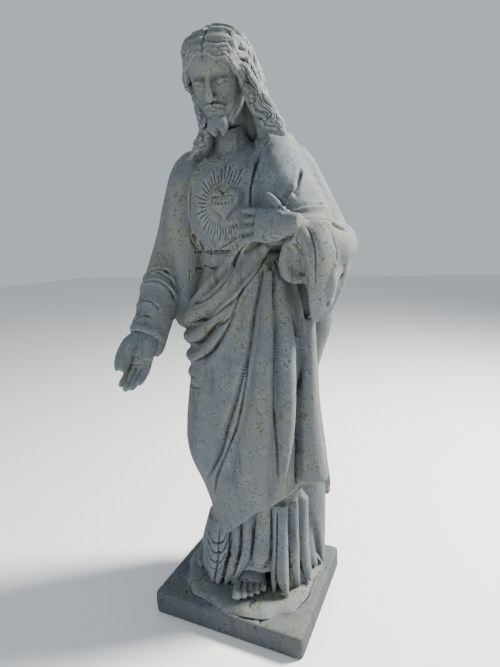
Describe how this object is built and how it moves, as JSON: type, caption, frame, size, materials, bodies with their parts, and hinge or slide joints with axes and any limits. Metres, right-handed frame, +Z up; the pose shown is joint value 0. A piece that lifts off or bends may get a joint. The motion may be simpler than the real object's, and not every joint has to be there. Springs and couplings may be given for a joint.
{
  "type": "sacred heart statue",
  "caption": "Standing robed figure cast in one with its rocky ground and slab plinth, one hand at a heart emblem on the chest and the other held down and open",
  "frame": {"origin": "middle of the plinth's flat underside", "axes": "+Z up the figure, the figure faces -Y, +X towards the figure's left side"},
  "size_m": [0.6698, 0.4787, 1.7224],
  "materials": {
    "cast_concrete": "weathered cast concrete, dull, with dark grime in the folds and pale lichen"
  },
  "bodies": {
    "root": {"sacred_heart_statue": "cast_concrete"}
  },
  "joints": []
}
